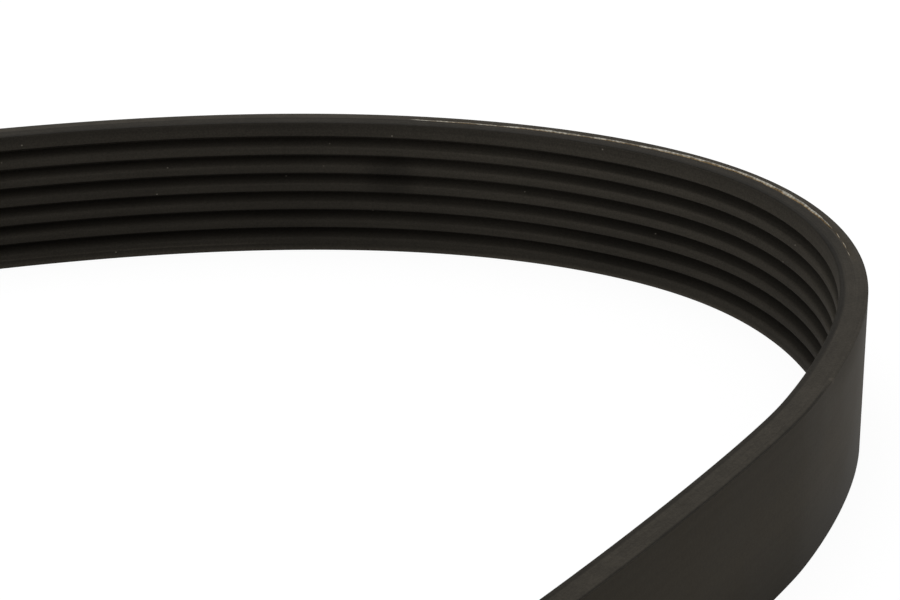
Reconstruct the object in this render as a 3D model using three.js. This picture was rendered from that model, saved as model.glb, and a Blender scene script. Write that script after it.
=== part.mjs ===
import * as THREE from 'three';

// A multi-rib drive belt, free of its pulleys and standing on one cut edge. Millimetres, +Z up.
// The origin is in the middle of the loop's outer box, on the surface that the belt stands on.
// The long axis of the loop lies along X.

// The loop: a plain oval that the rib tips follow at half the belt's height.
const insideHalfLength = 248.5;
const insideHalfWidth = 109;
// A slack belt isn't a true oval. Each swell pushes it out in as many places as it has lobes, one of them
// towards its angle in degrees.
const swells = [
  { lobes: 3, size: 2.7, towards: -30 },
  { lobes: 4, size: 0.6, towards: -36 },
  { lobes: 5, size: 0.8, towards: 15 },
];
// One stretch is nearly straight: it is pressed in by its depth, which fades out over its spread in degrees.
const flatStretch = { depth: 1.45, towards: -70, spread: 3.7 };
// The belt doesn't stand quite upright: each lean sets the upper edge out from the lower one, as a swell does.
const leans = [
  { lobes: 2, size: 0.6, towards: 90 },
  { lobes: 3, size: 1.3, towards: -12 },
];

// The section: lengthwise ribs on the inside, a plain back outside, and both sides cut square.
const ribCount = 7;
const ribPitch = 3.56;
const ribHeight = 2.4;
const tipWidth = 1.4;
const tipRadius = 0.45;
const flankAngle = 20;
const backThickness = 1.9;

// How finely the round shapes are drawn.
const stationCount = 96;
const tipRoundSteps = 2;

const beltColour = 0x24221f;
const beltRoughness = 0.72;

const beltWidth = ribCount * ribPitch;
const beltThickness = ribHeight + backThickness;
const flankRun = ribHeight * Math.tan(THREE.MathUtils.degToRad(flankAngle));

// Adds waves that run round the loop to a tangent line, each by a share of its size.
function addWaves(line, waves, direction, share) {
  for (const wave of waves) {
    const turn = wave.lobes * (direction - THREE.MathUtils.degToRad(wave.towards));
    line.distance += share * wave.size * Math.cos(turn);
    line.change -= share * wave.size * wave.lobes * Math.sin(turn);
  }
}

// How far the loop's tangent line, square to the given direction, lies from the oval's middle at a height
// of the belt, and how fast that distance changes as the direction turns.
function tangentLine(direction, height) {
  const along = insideHalfLength * Math.cos(direction);
  const across = insideHalfWidth * Math.sin(direction);
  const line = { distance: Math.hypot(along, across) };
  line.change = (insideHalfWidth ** 2 - insideHalfLength ** 2)
    * Math.sin(direction) * Math.cos(direction) / line.distance;
  addWaves(line, swells, direction, 1);
  addWaves(line, leans, direction, height / beltWidth - 0.5);
  const away = direction - THREE.MathUtils.degToRad(flatStretch.towards);
  const sharpness = 1 / THREE.MathUtils.degToRad(flatStretch.spread) ** 2;
  const pressedIn = flatStretch.depth * Math.exp(sharpness * (Math.cos(away) - 1));
  line.distance -= pressedIn;
  line.change += pressedIn * sharpness * Math.sin(away);
  return line;
}

// How far the rib tips reach in a direction, at whichever edge reaches further.
function furthestReach(direction) {
  return Math.max(tangentLine(direction, 0).distance, tangentLine(direction, beltWidth).distance);
}

// The middle of the loop's box.
function loopMiddle() {
  const [right, back, left, front] = [0, 1, 2, 3].map((quarter) => furthestReach(quarter * Math.PI / 2));
  return new THREE.Vector2((right - left) / 2, (back - front) / 2);
}

// The ways that the back faces where the section is set up. They are closer together along the straighter
// sides, so that the facets lie about as close to the curve there as at the bends.
function stationDirections() {
  const directions = [];
  for (let station = 0; station < stationCount; station++) {
    const turn = station * 2 * Math.PI / stationCount;
    const across = Math.sqrt(insideHalfLength) * Math.sin(turn);
    const along = Math.sqrt(insideHalfWidth) * Math.cos(turn);
    directions.push(Math.atan2(across, along));
  }
  return directions;
}

// Where a point of the section lies in plan once it is carried to where the back faces a direction.
function placeInPlan(point, direction, middle) {
  const { distance, change } = tangentLine(direction, point.y);
  const outward = new THREE.Vector2(Math.cos(direction), Math.sin(direction));
  const onward = new THREE.Vector2(-outward.y, outward.x);
  return outward.multiplyScalar(distance + point.x).addScaledVector(onward, change).sub(middle);
}

// Draws to a corner and rounds it off on the way to the point after it.
function roundCorner(outline, corner, next, radius) {
  const from = outline.currentPoint.clone();
  const back = from.sub(corner).normalize();
  const ahead = next.clone().sub(corner).normalize();
  const halfAngle = Math.acos(THREE.MathUtils.clamp(back.dot(ahead), -1, 1)) / 2;
  const reach = radius / Math.tan(halfAngle);
  const start = corner.clone().addScaledVector(back, reach);
  const end = corner.clone().addScaledVector(ahead, reach);
  outline.lineTo(start.x, start.y);
  outline.quadraticCurveTo(corner.x, corner.y, end.x, end.y);
}

// The section. Its x is the distance out from the rib tips, and its y the height above the lower cut edge.
function beltSection() {
  const outline = new THREE.Shape();
  outline.moveTo(beltThickness, 0);
  outline.lineTo(beltThickness, beltWidth);
  outline.lineTo(0, beltWidth);
  for (let rib = ribCount - 1; rib > 0; rib--) {
    const groove = rib * ribPitch;
    const mouth = (ribPitch - tipWidth) / 2;
    const upperLip = new THREE.Vector2(0, groove + mouth);
    const upperRoot = new THREE.Vector2(ribHeight, groove + mouth - flankRun);
    const lowerRoot = new THREE.Vector2(ribHeight, groove - mouth + flankRun);
    const lowerLip = new THREE.Vector2(0, groove - mouth);
    roundCorner(outline, upperLip, upperRoot, tipRadius);
    outline.lineTo(upperRoot.x, upperRoot.y);
    outline.lineTo(lowerRoot.x, lowerRoot.y);
    roundCorner(outline, lowerLip, new THREE.Vector2(0, groove - ribPitch), tipRadius);
  }
  outline.lineTo(0, 0);
  outline.closePath();
  return outline;
}

// Carries an outline once around the loop. The ends meet, so the ring has no caps.
function sweepAround(outline, directions) {
  const points = outline.getPoints(tipRoundSteps);
  points.pop();
  const middle = loopMiddle();
  const positions = [];
  for (const direction of directions) {
    for (const point of points) {
      const place = placeInPlan(point, direction, middle);
      positions.push(place.x, place.y, point.y);
    }
  }
  const faces = [];
  for (let station = 0; station < directions.length; station++) {
    const here = station * points.length;
    const there = ((station + 1) % directions.length) * points.length;
    for (let corner = 0; corner < points.length; corner++) {
      const next = (corner + 1) % points.length;
      faces.push(here + corner, there + corner, there + next);
      faces.push(here + corner, there + next, here + next);
    }
  }
  const ring = new THREE.BufferGeometry();
  ring.setAttribute('position', new THREE.Float32BufferAttribute(positions, 3));
  ring.setIndex(faces);
  ring.computeVertexNormals();
  return ring;
}

const rubber = new THREE.MeshStandardMaterial({ color: beltColour, roughness: beltRoughness, metalness: 0 });
const belt = new THREE.Mesh(sweepAround(beltSection(), stationDirections()), rubber);
belt.name = 'ribbed_belt';

const part = new THREE.Group();
part.add(belt);

export default part;
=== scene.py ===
import math

import bpy
import numpy as np
from mathutils import Matrix, Vector


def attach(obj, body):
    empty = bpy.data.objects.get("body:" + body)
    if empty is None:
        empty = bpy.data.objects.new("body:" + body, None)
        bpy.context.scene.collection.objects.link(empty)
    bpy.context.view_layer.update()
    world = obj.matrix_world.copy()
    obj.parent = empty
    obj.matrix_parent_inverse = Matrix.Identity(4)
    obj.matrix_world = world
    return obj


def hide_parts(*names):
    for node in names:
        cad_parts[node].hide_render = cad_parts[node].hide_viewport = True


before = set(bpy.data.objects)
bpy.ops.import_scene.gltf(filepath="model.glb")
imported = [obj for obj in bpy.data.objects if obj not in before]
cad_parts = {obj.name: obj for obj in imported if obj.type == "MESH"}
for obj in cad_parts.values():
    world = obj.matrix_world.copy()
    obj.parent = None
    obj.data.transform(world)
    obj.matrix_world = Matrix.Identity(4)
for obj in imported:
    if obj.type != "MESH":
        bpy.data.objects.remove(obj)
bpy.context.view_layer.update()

# Lengths in this script are millimetres until a mesh is made, and MM turns them into metres.
MM = 0.001

# The loop: a plain oval that the rib tips follow at half the belt's height.
INSIDE_HALF_LENGTH = 248.5
INSIDE_HALF_WIDTH = 109.0
# Each swell of the slack belt is its lobes, its size, and the angle in degrees that one lobe points to.
SWELLS = ((3, 2.7, -30.0), (4, 0.6, -36.0), (5, 0.8, 15.0))
# One stretch is nearly straight: pressed in by its depth, which fades out over its spread in degrees.
FLAT_DEPTH = 1.45
FLAT_TOWARDS = -70.0
FLAT_SPREAD = 3.7
# Each lean sets the upper edge out from the lower one, as a swell does.
LEANS = ((2, 0.6, 90.0), (3, 1.3, -12.0))

# The section: lengthwise ribs inside, a plain back outside, both sides cut square.
RIB_COUNT = 7
RIB_PITCH = 3.56
RIB_HEIGHT = 2.4
TIP_WIDTH = 1.4
TIP_RADIUS = 0.45
ROOT_RADIUS = 0.16
FLANK_ANGLE = 20.0
BACK_THICKNESS = 1.9
# The cut edges: a worn round along the ribs' upper side, and nearly sharp corners elsewhere.
WORN_CORNER_RADIUS = 0.28
LOW_CORNER_RADIUS = 0.12
BACK_CORNER_RADIUS = 0.12

BELT_WIDTH = RIB_COUNT * RIB_PITCH
BELT_THICKNESS = RIB_HEIGHT + BACK_THICKNESS
FLANK_RUN = RIB_HEIGHT * math.tan(math.radians(FLANK_ANGLE))

# How finely the belt is drawn: places around the loop, and steps on the round corners of the section.
STATION_COUNT = 720
SMALL_ROUND_STEPS = 3
WORN_ROUND_STEPS = 4
# Points this near to the back, or to a cut edge, keep their place where the cut wanders.
BACK_MARGIN = 0.5
CUT_MARGIN = 1.0
# A point closer than this to a face lies on it.
ON_FACE = 0.001

# The bed of the tensile cord that the cut laid bare in the upper edge: its middle out from the rib tips.
CORD_BED_MIDDLE = 2.92
CORD_BED_HALF_WIDTH = 0.62
CORD_BED_DEPTH = 0.2
# The fine seam along the back's upper corner, where the cut lifted the outer layer a little.
SEAM_MIDDLE = 4.1
SEAM_HALF_WIDTH = 0.12
SEAM_DEPTH = 0.07
# A low moulding line along the lowest rib.
MOULD_LINE_HEIGHT = 1.5
MOULD_LINE_HALF_WIDTH = 0.22
MOULD_LINE_DEPTH = 0.12
# How far up the lowest rib its painted light from the white floor reaches, how far down the top rib its
# darker band reaches, and how far down the back its painted shadow reaches.
LOW_RIM_HEIGHT = 0.95
HIGH_RIM_DEPTH = 1.0
# How far the ribs lie below their even places where the cut wandered.
CUT_WANDER = 0.38

# Stretches of the belt: the directions in degrees that each lies between, and over how many it fades out.
BARE_CORD_STRETCH = (-27.0, 44.0, 6.0)
MOULD_LINE_STRETCH = (61.0, 150.0, 6.0)
WANDERING_CUT_STRETCH = (-60.0, 25.0, 30.0)
# The seam opens slowly over the first two directions, and closes quickly over the last two.
SEAM_OPENS = (-160.0, -100.0)
SEAM_CLOSES = (-57.5, -59.5)
# Stretches that only the materials read.
MATERIAL_STRETCHES = {
    "bend_stain": (-50.0, -26.0, 12.0),
    "near_side": (-120.0, -46.0, 12.0),
    # Painted shade deeper in the grooves along the bend.
    "bend_groove_shade": (-60.0, 24.0, 24.0),
    # Painted shade on the ribs along the bend.
    "bend_rib_shade": (-60.0, -12.0, 16.0),
    "soft_corner": (-55.0, -20.0, 5.0),
    "darker_cut": (-16.0, 150.0, 26.0),
    # Painted shade on the ribs along the far stretch.
    "far_rib_shade": (66.0, 120.0, 40.0),
}

# The bare cord: each strand runs from one direction to another in degrees, with how boldly it shows.
CORD_STRANDS = (
    (49.6, 41.5, 0.5),
    (42.0, -17.0, 1.0),
    (-18.6, -21.0, 0.45),
    (-22.4, -25.2, 0.4),
    (-26.4, -28.2, 0.2),
)
# Its size at its boldest, and the share of its width and of its thickness that is left at the least.
CORD_HALF_WIDTH = 0.42
CORD_HALF_THICKNESS = 0.09
CORD_LEAST_WIDTH = 0.35
CORD_LEAST_THICKNESS = 0.4
# How far its top lies below the cut, and how far its ends taper.
CORD_TOP_BELOW_EDGE = 0.02
CORD_TAPER = 2.5
# Its middle out from the rib tips, and each shift of it: by how much, and the directions that it comes over.
CORD_MIDDLE = 2.72
CORD_SHIFTS = ((0.33, 38.0, 18.0), (-0.3, -12.0, -24.0))
# It is narrower before the first of these directions, and has its whole width after the last.
CORD_NARROWED = 0.62
CORD_WIDENS = (-15.0, 0.0)
# Its unevenness in width and in path, as waves: each one's length, size and start.
CORD_WIDTH_WAVES = ((23.0, 0.14, 0.1), (9.1, 0.12, 0.55), (4.3, 0.1, 0.3), (2.1, 0.09, 0.8))
CORD_PATH_WAVES = ((41.0, 0.07, 0.2), (13.0, 0.045, 0.6), (5.2, 0.03, 0.9))
# How finely it is drawn: the length of a step along it, its sides, and the steps that measure its path.
CORD_STEP = 0.35
CORD_SIDES = 8
CORD_MEASURING_STEPS = 2000
CORD_FEWEST_RINGS = 6

# The camera: where it stands, which way it looks, and its lens on a 36 mm wide sensor.
CAMERA_PLACE = (1.36, -309.76, 203.77)
CAMERA_HEADING = 58.141
CAMERA_DOWNWARD = 27.046
CAMERA_ROLL = -1.143
CAMERA_LENS = 105.0
SENSOR_WIDTH = 36.0

# The colours of the rubber, the dust on it and the cord.
RUBBER = (0.0325, 0.0286, 0.0226)
BACK_RUBBER = (0.0402, 0.0339, 0.0243)
CORD_BED_RUBBER = (0.06, 0.046, 0.028)
DUST_COLOUR = (0.32, 0.29, 0.24)
STAINED_FIBRE = (0.26, 0.17, 0.07)
PALE_FIBRE = (0.36, 0.34, 0.29)
# Each finish: its roughness, and how strongly it mirrors.
RIB_FINISH = (0.8, 0.074)
CUT_FINISH = (0.7, 0.062)
BACK_FINISH = (0.62, 0.052)
FIBRE_FINISH = (0.75, 0.2)
# Where the soft smudge on the ribs and the nick in the upper edge lie, and how far each reaches.
SMUDGE_PLACE = (213.2, 50.5, 14.6)
SMUDGE_REACH = 7.0
NICK_PLACE = (217.6, -63.4, 24.9)
NICK_REACH = 0.9
# How each mark on the ribs changes their tone: the factor where it is 0, and where it is 1.
RIB_TONES = (
    # Painted shade on the ribs along the bend.
    ("bend_rib_shade", 1.0, 0.86),
    # Painted shade: the ribs darker towards the floor and lighter towards their top.
    ("share_up", 0.8, 1.1),
    # Painted shade on the ribs along the far stretch.
    ("far_rib_shade", 1.0, 0.8),
    ("high_rim", 1.0, 0.72),
    # Painted highlight on the low moulding ridge.
    ("mould_ridge_highlight", 1.0, 1.5),
    # Painted light from the white floor along the lowest rib's lower edge.
    ("low_floor_light", 1.0, 2.0),
)

# The floor and the room: greys and strengths that light the belt plainly and show as white.
FLOOR_HALF_SIZE = 4.0
FLOOR_GREY = 0.8
SHADOW_GREY = 0.18
FLOOR_GLOW = 0.9
ROOM_GREY = 0.8
ROOM_STRENGTH = 0.5
# The soft boxes, turned to the belt: where each stands in metres, its width and height, and its watts.
SOFT_LIGHTS = (
    ("overhead", (0.0, 0.1, 1.2), 1.2, 1.2, 4),
    ("left side", (-1.3, 0.25, 0.5), 1.0, 0.8, 8),
    ("right side", (1.3, 0.2, 0.5), 1.0, 0.8, 4),
)


def tangent_line(direction, height):
    """How far the loop's tangent line square to a direction lies from the oval's middle, and its change."""
    along = INSIDE_HALF_LENGTH * np.cos(direction)
    across = INSIDE_HALF_WIDTH * np.sin(direction)
    distance = np.hypot(along, across)
    flattening = INSIDE_HALF_WIDTH ** 2 - INSIDE_HALF_LENGTH ** 2
    change = flattening * np.sin(direction) * np.cos(direction) / distance
    for waves, share in ((SWELLS, 1.0), (LEANS, height / BELT_WIDTH - 0.5)):
        for lobes, size, towards in waves:
            turn = lobes * (direction - math.radians(towards))
            distance = distance + share * size * np.cos(turn)
            change = change - share * lobes * size * np.sin(turn)
    away = direction - math.radians(FLAT_TOWARDS)
    sharpness = 1 / math.radians(FLAT_SPREAD) ** 2
    pressed_in = FLAT_DEPTH * np.exp(sharpness * (np.cos(away) - 1))
    return distance - pressed_in, change + pressed_in * sharpness * np.sin(away)


def loop_middle():
    """The middle of the loop's outer box, from the edge that reaches further on each side."""
    quarters = np.radians([0.0, 90.0, 180.0, 270.0])
    low_edge = tangent_line(quarters, 0.0)[0]
    high_edge = tangent_line(quarters, BELT_WIDTH)[0]
    right, back, left, front = np.maximum(low_edge, high_edge)
    return (right - left) / 2, (back - front) / 2


def place_on_loop(direction, out, height):
    """Points out from the rib tips and up from the lower cut edge, where the back faces a direction."""
    direction, out, height = np.broadcast_arrays(direction, out, height)
    distance, change = tangent_line(direction, height)
    middle_x, middle_y = loop_middle()
    x = np.cos(direction) * (distance + out) - np.sin(direction) * change - middle_x
    y = np.sin(direction) * (distance + out) + np.cos(direction) * change - middle_y
    return np.stack([x, y, height], axis=-1)


def station_directions():
    """The ways that the back faces at each station, closer together along the straighter sides."""
    turn = np.arange(STATION_COUNT) * 2 * math.pi / STATION_COUNT
    across = math.sqrt(INSIDE_HALF_LENGTH) * np.sin(turn)
    along = math.sqrt(INSIDE_HALF_WIDTH) * np.cos(turn)
    return np.arctan2(across, along)


def rises(value, start, end):
    """A smooth rise from 0 at start to 1 at end; end may be below start."""
    share = np.clip((value - start) / (end - start), 0, 1)
    return share * share * (3 - 2 * share)


def along_between(direction, first, last, fade):
    """1 between two directions in degrees, fading out beyond them over the fade."""
    degrees = np.degrees(direction)
    return rises(degrees, first - fade, first) * rises(degrees, last + fade, last)


def hump(value, middle, half_width):
    """A smooth hump, 1 in the middle and 0 beyond its half width."""
    return 1 - rises(np.abs(value - middle), 0, half_width)


def rounded_corner(corner, before, after, radius, steps):
    """The points of an arc that rounds a corner between two neighbouring points."""
    corner, before, after = (np.array(point, float) for point in (corner, before, after))
    back = (before - corner) / np.linalg.norm(before - corner)
    ahead = (after - corner) / np.linalg.norm(after - corner)
    half_angle = math.acos(np.clip(np.dot(back, ahead), -1, 1)) / 2
    centre = corner + (back + ahead) / np.linalg.norm(back + ahead) * radius / math.sin(half_angle)
    first = corner + back * radius / math.tan(half_angle) - centre
    last = corner + ahead * radius / math.tan(half_angle) - centre
    start = math.atan2(first[1], first[0])
    sweep = (math.atan2(last[1], last[0]) - start + math.pi) % (2 * math.pi) - math.pi
    angles = start + sweep * np.linspace(0, 1, steps + 1)
    return centre + radius * np.stack([np.cos(angles), np.sin(angles)], axis=1)


def spread(middle, half_width):
    """Five places across a narrow feature."""
    return [middle + half_width * share for share in (-1, -0.5, 0, 0.5, 1)]


def belt_section():
    """The section in turn: distance out from the rib tips, height, corner radius (0 for a point), steps."""
    small = SMALL_ROUND_STEPS
    worn = WORN_ROUND_STEPS
    corners = [
        (BELT_THICKNESS, 0, BACK_CORNER_RADIUS, small),
        (BELT_THICKNESS, BELT_WIDTH, BACK_CORNER_RADIUS, small),
    ]
    corners += [(out, BELT_WIDTH, 0, 0) for out in reversed(spread(SEAM_MIDDLE, SEAM_HALF_WIDTH)[:-1])]
    corners += [(out, BELT_WIDTH, 0, 0) for out in reversed(spread(CORD_BED_MIDDLE, CORD_BED_HALF_WIDTH))]
    corners.append((0, BELT_WIDTH, WORN_CORNER_RADIUS, worn))
    mouth = (RIB_PITCH - TIP_WIDTH) / 2
    for rib in range(RIB_COUNT - 1, 0, -1):
        groove = rib * RIB_PITCH
        corners += [
            (0, groove + mouth, TIP_RADIUS, small),
            (RIB_HEIGHT, groove + mouth - FLANK_RUN, ROOT_RADIUS, small),
            (RIB_HEIGHT, groove - mouth + FLANK_RUN, ROOT_RADIUS, small),
            (0, groove - mouth, TIP_RADIUS, small),
        ]
    corners += [(0, height, 0, 0) for height in reversed(spread(MOULD_LINE_HEIGHT, MOULD_LINE_HALF_WIDTH))]
    corners.append((0, 0, LOW_CORNER_RADIUS, small))
    return corners


def section_points():
    """The rounded section as closed points, starting on the back's lower corner."""
    corners = belt_section()
    points = []
    for index, (out, height, radius, steps) in enumerate(corners):
        if radius == 0:
            points.append(np.array([[out, height]]))
            continue
        before = corners[index - 1][:2]
        after = corners[(index + 1) % len(corners)][:2]
        points.append(rounded_corner((out, height), before, after, radius, steps))
    return np.concatenate(points)


def cord_shows(direction):
    """How bare the cord lies at each direction, from 0 to 1."""
    return along_between(direction, *BARE_CORD_STRETCH)


def seam_shows(direction):
    """How open the seam along the back's upper corner is at each direction, from 0 to 1."""
    degrees = np.degrees(direction)
    return rises(degrees, *SEAM_OPENS) * rises(degrees, *SEAM_CLOSES)


def mould_line_shows(direction):
    """How far the low moulding line stands out at each direction, from 0 to 1."""
    return along_between(direction, *MOULD_LINE_STRETCH)


def cut_wander(direction):
    """How far down the ribs lie at each direction, where the cut edges wander against them, in mm."""
    return CUT_WANDER * along_between(direction, *WANDERING_CUT_STRETCH)


def worn_section(direction, section):
    """The section at each station with its cut, bed, seam and moulding line: out and height, in mm."""
    direction = direction[:, None]
    out = np.broadcast_to(section[None, :, 0], (len(direction), len(section))).copy()
    height = np.broadcast_to(section[None, :, 1], out.shape).copy()
    on_top = (section[None, :, 1] > BELT_WIDTH - ON_FACE).astype(float)
    bed = hump(out, CORD_BED_MIDDLE, CORD_BED_HALF_WIDTH) * cord_shows(direction)
    seam = hump(out, SEAM_MIDDLE, SEAM_HALF_WIDTH) * seam_shows(direction)
    height -= on_top * (CORD_BED_DEPTH * bed + SEAM_DEPTH * seam)
    on_low_rib = (section[None, :, 0] < ON_FACE) & (section[None, :, 1] < RIB_PITCH)
    line = hump(section[None, :, 1], MOULD_LINE_HEIGHT, MOULD_LINE_HALF_WIDTH) * mould_line_shows(direction)
    out -= on_low_rib * MOULD_LINE_DEPTH * line
    from_middle = np.abs(section[:, 1] - BELT_WIDTH / 2)
    among_ribs = (section[:, 0] < BELT_THICKNESS - BACK_MARGIN) & (from_middle < BELT_WIDTH / 2 - CUT_MARGIN)
    height -= among_ribs[None, :] * cut_wander(direction)
    return out, height


def ring_faces(rings, points, closed):
    """Quads between rings of points; closed joins the last ring to the first."""
    last = rings if closed else rings - 1
    ring = np.arange(last)[:, None] * points
    onward = (np.arange(last)[:, None] + 1) % rings * points
    point = np.arange(points)[None, :]
    after = (point + 1) % points
    return np.stack([ring + point, onward + point, onward + after, ring + after], axis=-1).reshape(-1, 4)


def corner_normals(vertices, faces):
    """Each vertex's normal: the sum of its faces' normals by their size, so that wide flats stay flat."""
    first = vertices[faces[:, 2]] - vertices[faces[:, 0]]
    second = vertices[faces[:, 3]] - vertices[faces[:, 1]]
    face_normals = np.cross(first, second)
    normals = np.zeros_like(vertices)
    for corner in range(4):
        np.add.at(normals, faces[:, corner], face_normals)
    return normals / np.linalg.norm(normals, axis=1)[:, None]


def new_object(name, vertices, faces, caps=()):
    """A mesh object from vertices in millimetres, smooth shaded."""
    mesh = bpy.data.meshes.new(name)
    mesh.from_pydata((vertices * MM).tolist(), [], faces.tolist() + [list(cap) for cap in caps])
    mesh.update()
    mesh.shade_smooth()
    made = bpy.data.objects.new(name, mesh)
    bpy.context.scene.collection.objects.link(made)
    return made


def mark(piece, name, values):
    """Keeps a number at each vertex for the materials."""
    attribute = piece.data.attributes.new(name, "FLOAT", "POINT")
    attribute.data.foreach_set("value", np.asarray(values, np.float32).ravel())


def make_belt():
    """The belt: the section carried once around the loop."""
    section = section_points()
    direction = station_directions()
    out, height = worn_section(direction, section)
    vertices = place_on_loop(direction[:, None], out, height).reshape(-1, 3)
    faces = ring_faces(STATION_COUNT, len(section), closed=True)
    belt = new_object("belt_rubber", vertices, faces)
    belt.data.normals_split_custom_set_from_vertices(corner_normals(vertices, faces).tolist())
    mark_belt(belt, direction, section, height)
    return belt


def mark_belt(belt, direction, section, height):
    """Marks the belt for its materials. A mark on a corner of the back fades out over the whole back."""
    direction = np.broadcast_to(direction[:, None], height.shape)
    out = np.broadcast_to(section[None, :, 0], height.shape)
    on_tips = out < RIB_HEIGHT / 2
    on_back = out > BELT_THICKNESS - BACK_MARGIN
    by_top = height > BELT_WIDTH - 1.6 * WORN_CORNER_RADIUS
    # Each of these is wider than the form that it colours.
    seam = hump(out, SEAM_MIDDLE, 3.0 * SEAM_HALF_WIDTH) * seam_shows(direction)
    bed = hump(out, CORD_BED_MIDDLE, 1.1 * CORD_BED_HALF_WIDTH) * cord_shows(direction)
    # A painted highlight along the moulding ridge, on top of the light that its drawn shape catches.
    mould_ridge_highlight = hump(height, MOULD_LINE_HEIGHT, 1.6 * MOULD_LINE_HALF_WIDTH) * mould_line_shows(direction)
    rim_starts = BELT_WIDTH - HIGH_RIM_DEPTH
    marks = {
        "distance_out": out,
        "share_up": height / BELT_WIDTH,
        "seam": by_top * seam,
        "cord_bed": by_top * bed,
        "mould_ridge_highlight": on_tips * mould_ridge_highlight,
        # Painted light from the white floor along the lowest rib's lower edge.
        "low_floor_light": on_tips * rises(height, LOW_RIM_HEIGHT, 0.2 * LOW_RIM_HEIGHT),
        "high_rim": on_tips * rises(height, rim_starts, BELT_WIDTH - 0.2),
        # Painted shadow along the back's upper corner, which fades down the whole back.
        "back_rim_shadow": on_back * rises(height, rim_starts, BELT_WIDTH - 0.1),
    }
    for name, stretch in MATERIAL_STRETCHES.items():
        marks[name] = along_between(direction, *stretch)
    for name, values in marks.items():
        mark(belt, name, values)


def give_belt_materials(belt, ribbed, cut, smooth):
    """The three finishes of the belt, each on the faces that show it."""
    for material in (ribbed, cut, smooth):
        belt.data.materials.append(material)
    section = section_points()
    after = np.roll(section, -1, axis=0)
    middle = (section + after) / 2
    near_a_cut = np.minimum(middle[:, 1], BELT_WIDTH - middle[:, 1])
    inside_back = middle[:, 0] < BELT_THICKNESS - 0.1 * BACK_CORNER_RADIUS
    on_cut = (near_a_cut < 0.3 * WORN_CORNER_RADIUS) & inside_back
    on_back = (middle[:, 0] > RIB_HEIGHT + BACK_THICKNESS / 2) & ~on_cut
    slots = np.where(on_cut, 1, np.where(on_back, 2, 0))
    belt.data.polygons.foreach_set("material_index", np.tile(slots, STATION_COUNT).astype(np.int32))
    belt.data.update()


def wander(length, waves):
    """A fixed uneven line along a length: the sum of waves, each its wavelength, size and start."""
    return sum(size * np.sin(2 * math.pi * (length / wave + start)) for wave, size, start in waves)


def cord_strand(first, last, boldness):
    """One bare strand of the cord: its points, how far along and across each is, and its count of rings."""
    fine = np.radians(np.linspace(first, last, CORD_MEASURING_STEPS))
    path = place_on_loop(fine, CORD_BED_MIDDLE, BELT_WIDTH)
    steps = np.linalg.norm(np.diff(path, axis=0), axis=1)
    travelled = np.concatenate([[0], np.cumsum(steps)])
    ring_count = max(CORD_FEWEST_RINGS, int(travelled[-1] / CORD_STEP))
    length = np.linspace(0, travelled[-1], ring_count)
    direction = np.interp(length, travelled, fine)
    degrees = np.degrees(direction)
    # Each strand starts at another place of the waves, so that no two are uneven in the same way.
    along_waves = length - 4.0 * degrees[0]
    ends = np.minimum(length, travelled[-1] - length)
    taper = np.sqrt(np.clip(ends / CORD_TAPER, 0.01, 1))
    widened = CORD_NARROWED + (1 - CORD_NARROWED) * rises(degrees, *CORD_WIDENS)
    half_width = CORD_HALF_WIDTH * (CORD_LEAST_WIDTH + (1 - CORD_LEAST_WIDTH) * boldness) * widened
    half_width = half_width * (1 + wander(along_waves, CORD_WIDTH_WAVES))
    shifts = sum(size * rises(degrees, start, end) for size, start, end in CORD_SHIFTS)
    middle = CORD_MIDDLE + shifts + wander(along_waves, CORD_PATH_WAVES)
    around = np.arange(CORD_SIDES) * 2 * math.pi / CORD_SIDES
    out = middle[:, None] + (half_width * taper)[:, None] * np.cos(around)[None, :]
    thickness = CORD_HALF_THICKNESS * (CORD_LEAST_THICKNESS + (1 - CORD_LEAST_THICKNESS) * taper)
    centre_height = BELT_WIDTH - CORD_TOP_BELOW_EDGE - CORD_HALF_THICKNESS
    height = centre_height + thickness[:, None] * np.sin(around)[None, :]
    points = place_on_loop(direction[:, None], out, height)
    along = np.broadcast_to(length[:, None], out.shape)
    across = np.broadcast_to(np.cos(around)[None, :], out.shape)
    return points.reshape(-1, 3), along, across, ring_count


def make_edge_cord():
    """The bare tensile cord, as flattened strands in its bed."""
    vertices = []
    faces = []
    caps = []
    alongs = []
    acrosses = []
    count = 0
    for first, last, boldness in CORD_STRANDS:
        points, along, across, rings = cord_strand(first, last, boldness)
        faces.append(ring_faces(rings, CORD_SIDES, closed=False)[:, ::-1] + count)
        caps.append([count + side for side in range(CORD_SIDES)])
        caps.append([count + len(points) - 1 - side for side in range(CORD_SIDES)])
        vertices.append(points)
        alongs.append(along.ravel())
        acrosses.append(across.ravel())
        count += len(points)
    cord = new_object("edge_cord", np.concatenate(vertices), np.concatenate(faces), caps)
    mark(cord, "along", np.concatenate(alongs))
    mark(cord, "across", np.concatenate(acrosses))
    return cord


def feed(tree, socket, source):
    """Sets a socket to a value, or joins another node's output to it."""
    if isinstance(source, bpy.types.NodeSocket):
        tree.links.new(source, socket)
    else:
        socket.default_value = source


def maths(tree, operation, first, second=0.0, third=0.0):
    """A Math node's output."""
    node = tree.nodes.new("ShaderNodeMath")
    node.operation = operation
    for socket, source in zip(node.inputs, (first, second, third)):
        feed(tree, socket, source)
    return node.outputs[0]


def remap(tree, value, low, high, to_low=0.0, to_high=1.0):
    """A smooth step of a value from one range to another."""
    node = tree.nodes.new("ShaderNodeMapRange")
    node.interpolation_type = "SMOOTHSTEP"
    for name, source in (("From Min", low), ("From Max", high), ("To Min", to_low), ("To Max", to_high)):
        feed(tree, node.inputs[name], source)
    feed(tree, node.inputs["Value"], value)
    return node.outputs["Result"]


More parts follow.
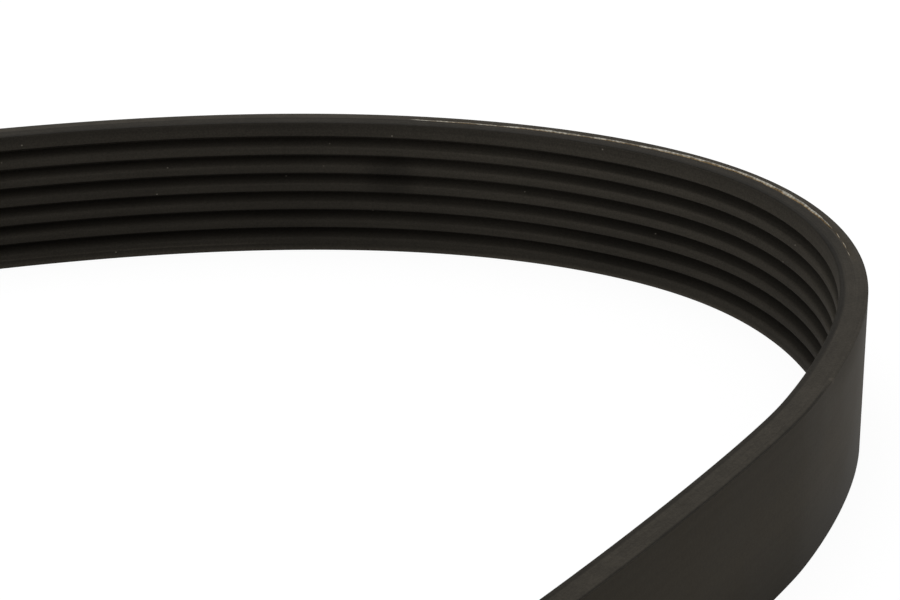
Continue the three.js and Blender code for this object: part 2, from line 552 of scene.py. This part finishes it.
def mix_colours(tree, share, first, second, how="MIX"):
    """A colour between two, or one laid on the other."""
    node = tree.nodes.new("ShaderNodeMix")
    node.data_type = "RGBA"
    node.blend_type = how
    feed(tree, node.inputs[0], share)
    feed(tree, node.inputs[6], first)
    feed(tree, node.inputs[7], second)
    return node.outputs[2]


def vector_maths(tree, operation, first, second):
    """A Vector Math node's vector output."""
    node = tree.nodes.new("ShaderNodeVectorMath")
    node.operation = operation
    feed(tree, node.inputs[0], first)
    feed(tree, node.inputs[1], second)
    return node.outputs[0]


def place_in_mm(tree):
    """Where each point of the surface is, in millimetres."""
    coordinates = tree.nodes.new("ShaderNodeTexCoord")
    return vector_maths(tree, "MULTIPLY", coordinates.outputs["Object"], (1000.0, 1000.0, 1000.0))


def noise(tree, place, scale, detail, roughness=0.55):
    """A noise value at a place."""
    node = tree.nodes.new("ShaderNodeTexNoise")
    feed(tree, node.inputs["Vector"], place)
    feed(tree, node.inputs["Scale"], scale)
    feed(tree, node.inputs["Detail"], detail)
    feed(tree, node.inputs["Roughness"], roughness)
    return node.outputs["Fac"]


def marked(tree, name):
    """A number that the mesh keeps at each vertex."""
    node = tree.nodes.new("ShaderNodeAttribute")
    node.attribute_name = name
    return node.outputs["Fac"]


def new_group(name, inputs, outputs):
    """An empty node group with named number inputs and outputs."""
    group = bpy.data.node_groups.new(name, "ShaderNodeTree")
    for label, value in inputs:
        socket = group.interface.new_socket(label, in_out="INPUT", socket_type="NodeSocketFloat")
        socket.default_value = value
    for label in outputs:
        group.interface.new_socket(label, in_out="OUTPUT", socket_type="NodeSocketFloat")
    return group, group.nodes.new("NodeGroupInput"), group.nodes.new("NodeGroupOutput")


def put_group(tree, group, **values):
    """A group placed in a material, with its inputs set by name."""
    node = tree.nodes.new("ShaderNodeGroup")
    node.node_tree = group
    for label, source in values.items():
        feed(tree, node.inputs[label.replace("_", " ")], source)
    return node


def make_grain_group():
    """Ground rubber: fine grain as a height, and the same grain as a tone around 0.5."""
    group, given, made = new_group("rubber grain", [("grain size", 0.3)], ["height", "tone"])
    place = place_in_mm(group)
    scale = maths(group, "DIVIDE", 1.0, given.outputs["grain size"])
    finer = maths(group, "MULTIPLY", scale, 2.7)
    coarse = noise(group, place, scale, 3.0, 0.6)
    fine = noise(group, place, finer, 1.0)
    both = maths(group, "ADD", maths(group, "MULTIPLY", coarse, 0.7), maths(group, "MULTIPLY", fine, 0.3))
    feed(group, made.inputs["height"], both)
    feed(group, made.inputs["tone"], remap(group, both, 0.33, 0.67))
    return group


def make_streak_group():
    """Streaks along the belt: they follow its length, whatever way it faces."""
    inputs = [("streak length", 60.0), ("streak width", 0.4), ("distance out", 0.0)]
    group, given, made = new_group("lengthwise streaks", inputs, ["value"])
    place = place_in_mm(group)
    squeeze = group.nodes.new("ShaderNodeCombineXYZ")
    slow = maths(group, "DIVIDE", 1.0, given.outputs["streak length"])
    quick = maths(group, "DIVIDE", 1.0, given.outputs["streak width"])
    feed(group, squeeze.inputs[0], slow)
    feed(group, squeeze.inputs[1], slow)
    feed(group, squeeze.inputs[2], quick)
    streaks = group.nodes.new("ShaderNodeTexNoise")
    streaks.noise_dimensions = "4D"
    feed(group, streaks.inputs["Vector"], vector_maths(group, "MULTIPLY", place, squeeze.outputs[0]))
    feed(group, streaks.inputs["W"], maths(group, "MULTIPLY", given.outputs["distance out"], quick))
    feed(group, streaks.inputs["Scale"], 1.0)
    feed(group, streaks.inputs["Detail"], 2.0)
    feed(group, made.inputs["value"], remap(group, streaks.outputs["Fac"], 0.3, 0.7))
    return group


def make_patch_group():
    """Soft patches, where the rubber was handled or lies duller."""
    group, given, made = new_group("handled patches", [("patch size", 20.0)], ["value"])
    scale = maths(group, "DIVIDE", 1.0, given.outputs["patch size"])
    patches = noise(group, place_in_mm(group), scale, 3.0, 0.6)
    feed(group, made.inputs["value"], remap(group, patches, 0.32, 0.68))
    return group


def make_dust_group():
    """Sparse fine specks of dust that cling to the rubber."""
    inputs = [("spacing", 5.5), ("speck size", 0.2)]
    group, given, made = new_group("clinging dust", inputs, ["mask"])
    cells = group.nodes.new("ShaderNodeTexVoronoi")
    feed(group, cells.inputs["Vector"], place_in_mm(group))
    feed(group, cells.inputs["Scale"], maths(group, "DIVIDE", 1.0, given.outputs["spacing"]))
    away = maths(group, "MULTIPLY", cells.outputs["Distance"], given.outputs["spacing"])
    inner = maths(group, "MULTIPLY", given.outputs["speck size"], 0.4)
    feed(group, made.inputs["mask"], remap(group, away, given.outputs["speck size"], inner))
    return group


GRAIN = make_grain_group()
STREAKS = make_streak_group()
PATCHES = make_patch_group()
DUST = make_dust_group()


def new_material(name, roughness, gloss):
    """A material and its shader, with plain values for what is the same all over."""
    material = bpy.data.materials.new(name)
    material.use_nodes = True
    shader = material.node_tree.nodes["Principled BSDF"]
    shader.inputs["Roughness"].default_value = roughness
    shader.inputs["Specular IOR Level"].default_value = gloss
    return material, material.node_tree, shader


def colour_of(rgb):
    """A colour socket's value."""
    return (*rgb, 1.0)


def grey(level):
    """A colour socket's value for a plain grey."""
    return (level, level, level, 1.0)


def tone_colour(tree, colour, tone):
    """A colour made lighter or darker by a number around 1."""
    spread_out = tree.nodes.new("ShaderNodeCombineXYZ")
    for socket in spread_out.inputs:
        feed(tree, socket, tone)
    return mix_colours(tree, 1.0, colour, spread_out.outputs[0], "MULTIPLY")


def bumped(tree, shader, height, distance, strength):
    """Feeds a height in millimetres into the shader's normal."""
    bump = tree.nodes.new("ShaderNodeBump")
    bump.inputs["Strength"].default_value = strength
    bump.inputs["Distance"].default_value = distance * MM
    feed(tree, bump.inputs["Height"], height)
    feed(tree, shader.inputs["Normal"], bump.outputs[0])


def near_place(tree, middle, reach):
    """1 at a place in millimetres, fading to 0 at its reach."""
    node = tree.nodes.new("ShaderNodeVectorMath")
    node.operation = "DISTANCE"
    feed(tree, node.inputs[0], place_in_mm(tree))
    feed(tree, node.inputs[1], middle)
    return remap(tree, node.outputs["Value"], reach, reach * 0.15)


def toned(tree, tone, value, low, high, first=0.0, last=1.0):
    """A tone changed by a value: by low where the value is at first, and by high where it is at last."""
    return maths(tree, "MULTIPLY", tone, remap(tree, value, first, last, low, high))


def mottled(tree, tone, value, contrast):
    """A tone that a value makes lighter and darker by up to the contrast."""
    return toned(tree, tone, value, 1 - contrast, 1 + contrast)


def ribbed_rubber():
    """The ground ribs: fine grain, painted shade in the grooves, with a few specks and one soft smudge."""
    material, tree, shader = new_material("ribbed ground rubber", *RIB_FINISH)
    out = marked(tree, "distance_out")
    grain = put_group(tree, GRAIN, grain_size=0.32)
    patches = put_group(tree, PATCHES, patch_size=26.0)
    streaks = put_group(tree, STREAKS, streak_length=45.0, streak_width=0.55, distance_out=out)
    dust = put_group(tree, DUST, spacing=4.7, speck_size=0.21)
    # Painted shade: the flanks darken towards the bottom of the grooves, and more so in the bend.
    tone = remap(tree, out, 0.2, 1.9, 1.06, 0.78)
    deep = maths(tree, "MULTIPLY", marked(tree, "bend_groove_shade"), remap(tree, out, 0.05, 0.6))
    tone = toned(tree, tone, deep, 1.0, 0.72)
    tone = mottled(tree, tone, grain.outputs["tone"], 0.16)
    tone = mottled(tree, tone, patches.outputs["value"], 0.07)
    tone = mottled(tree, tone, streaks.outputs["value"], 0.07)
    tone = toned(tree, tone, near_place(tree, SMUDGE_PLACE, SMUDGE_REACH), 1.0, 0.68)
    for name, low, high in RIB_TONES:
        tone = toned(tree, tone, marked(tree, name), low, high)
    colour = tone_colour(tree, colour_of(RUBBER), tone)
    dusty = maths(tree, "MULTIPLY", dust.outputs["mask"], 0.4)
    colour = mix_colours(tree, dusty, colour, colour_of(DUST_COLOUR))
    feed(tree, shader.inputs["Base Color"], colour)
    bumped(tree, shader, grain.outputs["height"], 0.09, 0.6)
    return material


def cut_rubber():
    """The cut edge: an inner layer, a lighter outer one, the cord's bed, painted shade along the seam, and
    stains.
    """
    material, tree, shader = new_material("cut edge rubber", *CUT_FINISH)
    out = marked(tree, "distance_out")
    darker = marked(tree, "darker_cut")
    grain = put_group(tree, GRAIN, grain_size=0.4)
    patches = put_group(tree, PATCHES, patch_size=14.0)
    blots = put_group(tree, PATCHES, patch_size=3.2)
    streaks = put_group(tree, STREAKS, streak_length=40.0, streak_width=0.3, distance_out=out)
    tone = remap(tree, darker, 0.0, 1.0, 1.3, 0.84)
    # Where the cut is darker, its outer layer is lighter than its inner one.
    outer = maths(tree, "MULTIPLY", darker, remap(tree, out, 2.3, 2.75))
    tone = toned(tree, tone, outer, 1.0, 1.85)
    # A dark band follows the inner corner. Along the near side it is wider and ends more sharply.
    dark_as_far_as = maths(tree, "MULTIPLY_ADD", marked(tree, "near_side"), 0.45, third=0.3)
    tone = toned(tree, tone, remap(tree, out, 1.2, dark_as_far_as), 1.0, 0.6)
    tone = mottled(tree, tone, grain.outputs["tone"], 0.1)
    tone = mottled(tree, tone, patches.outputs["value"], 0.05)
    tone = toned(tree, tone, blots.outputs["value"], 0.91, 1.06)
    tone = mottled(tree, tone, streaks.outputs["value"], 0.07)
    stain = maths(tree, "MULTIPLY", marked(tree, "bend_stain"), remap(tree, out, 1.3, 0.5))
    stain = toned(tree, stain, blots.outputs["value"], 0.6, 1.0, 0.25, 0.75)
    tone = toned(tree, tone, stain, 1.0, 0.6)
    # Painted shade in the seam's crease.
    tone = toned(tree, tone, marked(tree, "seam"), 1.0, 0.5)
    tone = toned(tree, tone, near_place(tree, NICK_PLACE, NICK_REACH), 1.0, 1.5)
    colour = tone_colour(tree, colour_of(RUBBER), tone)
    bed = maths(tree, "MULTIPLY", marked(tree, "cord_bed"), 0.3)
    colour = mix_colours(tree, bed, colour, colour_of(CORD_BED_RUBBER))
    feed(tree, shader.inputs["Base Color"], colour)
    streak_height = maths(tree, "MULTIPLY", streaks.outputs["value"], 0.6)
    height = maths(tree, "ADD", grain.outputs["height"], streak_height)
    bumped(tree, shader, height, 0.05, 0.6)
    return material


def smooth_rubber():
    """The plain back: an even satin with soft patches and faint streaks, and painted shade darkening it
    towards its lower edge.
    """
    material, tree, shader = new_material("smooth back rubber", *BACK_FINISH)
    out = marked(tree, "distance_out")
    grain = put_group(tree, GRAIN, grain_size=0.5)
    patches = put_group(tree, PATCHES, patch_size=11.0)
    streaks = put_group(tree, STREAKS, streak_length=55.0, streak_width=0.9, distance_out=out)
    tone = remap(tree, grain.outputs["tone"], 0.0, 1.0, 0.94, 1.06)
    tone = mottled(tree, tone, patches.outputs["value"], 0.03)
    tone = mottled(tree, tone, streaks.outputs["value"], 0.03)
    # Painted shade: the back darkens from a little above its middle down to its lower edge.
    share_up = marked(tree, "share_up")
    tone = toned(tree, tone, share_up, 0.5, 1.0, -0.15, 0.6)
    # Painted shadow along the back's upper corner.
    tone = toned(tree, tone, marked(tree, "back_rim_shadow"), 1.0, 0.93)
    worn_rim = maths(tree, "MULTIPLY", marked(tree, "soft_corner"), remap(tree, share_up, 0.8, 1.0))
    tone = toned(tree, tone, worn_rim, 1.0, 0.9)
    # Painted shade in the seam's crease.
    tone = toned(tree, tone, marked(tree, "seam"), 1.0, 0.6)
    tone = toned(tree, tone, near_place(tree, NICK_PLACE, NICK_REACH), 1.0, 1.4)
    feed(tree, shader.inputs["Base Color"], tone_colour(tree, colour_of(BACK_RUBBER), tone))
    roughness = remap(tree, patches.outputs["value"], 0.0, 1.0, 0.61, 0.64)
    feed(tree, shader.inputs["Roughness"], maths(tree, "MULTIPLY_ADD", worn_rim, 0.07, roughness))
    bumped(tree, shader, grain.outputs["height"], 0.03, 0.5)
    return material


def cord_fibre():
    """Bare cord: pale worn fibres on top, tan rubber-stained ones towards the ribs."""
    material, tree, shader = new_material("bare cord fibre", *FIBRE_FINISH)
    along = marked(tree, "along")
    across = marked(tree, "across")
    loose = put_group(tree, PATCHES, patch_size=1.6)
    twist = maths(tree, "ADD", maths(tree, "MULTIPLY", along, 1.15), maths(tree, "MULTIPLY", across, 0.35))
    twist = maths(tree, "ADD", twist, maths(tree, "MULTIPLY", loose.outputs["value"], 0.8))
    fibre = maths(tree, "SINE", maths(tree, "MULTIPLY", twist, 2 * math.pi))
    patches = put_group(tree, PATCHES, patch_size=2.2)
    worn = maths(tree, "ADD", across, maths(tree, "MULTIPLY", patches.outputs["value"], 0.7))
    pale = remap(tree, worn, -0.5, 0.5)
    colour = mix_colours(tree, pale, colour_of(STAINED_FIBRE), colour_of(PALE_FIBRE))
    tone = remap(tree, fibre, -1.0, 1.0, 0.7, 1.15)
    tone = maths(tree, "MULTIPLY", tone, remap(tree, patches.outputs["value"], 0.0, 1.0, 0.55, 1.2))
    feed(tree, shader.inputs["Base Color"], tone_colour(tree, colour, tone))
    bumped(tree, shader, fibre, 0.05, 0.6)
    return material


def place_camera():
    """The camera at the photograph's viewing angle."""
    heading = math.radians(CAMERA_HEADING)
    downward = math.radians(CAMERA_DOWNWARD)
    roll = math.radians(CAMERA_ROLL)
    look = Vector((
        math.cos(heading) * math.cos(downward),
        math.sin(heading) * math.cos(downward),
        -math.sin(downward),
    ))
    level_right = Vector((math.sin(heading), -math.cos(heading), 0))
    level_up = level_right.cross(look)
    right = level_right * math.cos(roll) + level_up * math.sin(roll)
    up = level_up * math.cos(roll) - level_right * math.sin(roll)
    turn = Matrix((right, up, -look)).transposed().to_4x4()
    data = bpy.data.cameras.new("camera")
    data.sensor_fit = "HORIZONTAL"
    data.sensor_width = SENSOR_WIDTH
    data.lens = CAMERA_LENS
    data.clip_start = 0.01
    data.clip_end = 50
    camera = bpy.data.objects.new("camera", data)
    camera.matrix_world = Matrix.Translation(Vector(CAMERA_PLACE) * MM) @ turn
    bpy.context.scene.collection.objects.link(camera)
    bpy.context.scene.camera = camera


def soft_light(name, place, width, height, power):
    """A soft box at a place, turned to the middle of the loop, in metres and watts."""
    data = bpy.data.lights.new(name, "AREA")
    data.shape = "RECTANGLE"
    data.size = width
    data.size_y = height
    data.energy = power
    light = bpy.data.objects.new(name, data)
    turn = (-Vector(place)).to_track_quat("-Z", "Y").to_matrix().to_4x4()
    light.matrix_world = Matrix.Translation(place) @ turn
    bpy.context.scene.collection.objects.link(light)


def seen_or_mirrored(tree):
    """1 for rays from the camera, from gloss or through glass, else 0."""
    path = tree.nodes.new("ShaderNodeLightPath")
    either = maths(tree, "MAXIMUM", path.outputs["Is Camera Ray"], path.outputs["Is Glossy Ray"])
    return maths(tree, "MAXIMUM", either, path.outputs["Is Transmission Ray"])


def choose_shader(tree, share, first, second, output):
    """Mixes two shaders by a share and sends them to the output."""
    choose = tree.nodes.new("ShaderNodeMixShader")
    feed(tree, choose.inputs[0], share)
    feed(tree, choose.inputs[1], first)
    feed(tree, choose.inputs[2], second)
    tree.links.new(choose.outputs[0], output.inputs["Surface"])


def make_floor():
    """A pale floor that shows white and keeps a faint shadow."""
    sides = ((-1, -1), (1, -1), (1, 1), (-1, 1))
    corners = [(FLOOR_HALF_SIZE * x, FLOOR_HALF_SIZE * y, 0) for x, y in sides]
    mesh = bpy.data.meshes.new("floor")
    mesh.from_pydata(corners, [], [(0, 1, 2, 3)])
    floor = bpy.data.objects.new("floor", mesh)
    bpy.context.scene.collection.objects.link(floor)
    material = bpy.data.materials.new("pale floor")
    material.use_nodes = True
    tree = material.node_tree
    tree.nodes.clear()
    bounce = tree.nodes.new("ShaderNodeBsdfDiffuse")
    bounce.inputs["Color"].default_value = grey(FLOOR_GREY)
    shadow = tree.nodes.new("ShaderNodeBsdfDiffuse")
    shadow.inputs["Color"].default_value = grey(SHADOW_GREY)
    glow = tree.nodes.new("ShaderNodeEmission")
    glow.inputs["Strength"].default_value = FLOOR_GLOW
    both = tree.nodes.new("ShaderNodeAddShader")
    tree.links.new(shadow.outputs[0], both.inputs[0])
    tree.links.new(glow.outputs[0], both.inputs[1])
    output = tree.nodes.new("ShaderNodeOutputMaterial")
    choose_shader(tree, seen_or_mirrored(tree), bounce.outputs[0], both.outputs[0], output)
    floor.data.materials.append(material)


def light_the_room():
    """An even pale room with soft boxes, which shows white."""
    world = bpy.data.worlds.new("room")
    world.use_nodes = True
    bpy.context.scene.world = world
    tree = world.node_tree
    tree.nodes.clear()
    room = tree.nodes.new("ShaderNodeBackground")
    room.inputs["Color"].default_value = grey(ROOM_GREY)
    room.inputs["Strength"].default_value = ROOM_STRENGTH
    white = tree.nodes.new("ShaderNodeBackground")
    white.inputs["Color"].default_value = grey(1.0)
    white.inputs["Strength"].default_value = 1.0
    output = tree.nodes.new("ShaderNodeOutputWorld")
    choose_shader(tree, seen_or_mirrored(tree), room.outputs[0], white.outputs[0], output)
    for light in SOFT_LIGHTS:
        soft_light(*light)


bpy.context.scene.view_settings.view_transform = "Standard"
place_camera()
light_the_room()
make_floor()

belt = make_belt()
give_belt_materials(belt, ribbed_rubber(), cut_rubber(), smooth_rubber())
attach(belt, "root")
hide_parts("ribbed_belt")

edge_cord = make_edge_cord()
edge_cord.data.materials.append(cord_fibre())
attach(edge_cord, "root")
